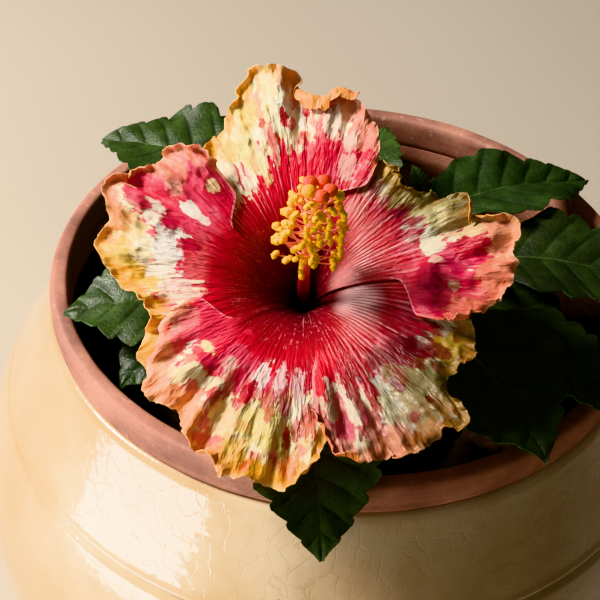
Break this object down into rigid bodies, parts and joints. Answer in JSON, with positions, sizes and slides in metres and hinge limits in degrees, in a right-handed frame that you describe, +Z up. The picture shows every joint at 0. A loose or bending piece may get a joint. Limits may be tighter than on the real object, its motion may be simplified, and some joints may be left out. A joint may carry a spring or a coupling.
{
  "type": "potted hibiscus shrub",
  "caption": "Young hibiscus shrub in a round glazed pot with an unglazed rim: a large ruffled five-petalled bloom with its column of stamens over toothed dark green leaves.",
  "frame": {"origin": "centre of the pot's flat underside", "axes": "+Z up, along the pot's axis; the bloom leans towards -Y, which is the front"},
  "size_m": [0.319, 0.32, 0.3505],
  "materials": {
    "glaze": "gloss",
    "terracotta": "matte",
    "soil": "matte",
    "bark": "matte",
    "foliage": "satin",
    "green_stem": "satin",
    "calyx": "satin",
    "petal": "satin",
    "stamen": "satin",
    "stigma": "satin"
  },
  "bodies": {
    "root": {"pot_body": "glaze", "pot_rim": "terracotta", "soil": "soil", "trunk": "bark", "bough_back_left": "bark", "bough_back": "bark", "bough_crown": "bark", "bough_back_right": "bark", "bough_right": "bark", "bough_front_right": "bark", "bough_front": "bark", "bough_front_left": "bark", "bough_left": "bark", "shoot_back_left": "foliage", "shoot_back": "foliage", "shoot_crown": "foliage", "shoot_back_right": "foliage", "shoot_right": "foliage", "shoot_front_right": "foliage", "shoot_front": "foliage", "shoot_front_left": "foliage", "shoot_left": "foliage", "flower_stalk": "green_stem", "calyx": "calyx", "petal_top": "petal", "petal_left": "petal", "petal_lower_left": "petal", "petal_lower_right": "petal", "petal_right": "petal", "stamen_column": "stamen", "stigma": "stigma"}
  },
  "joints": []
}
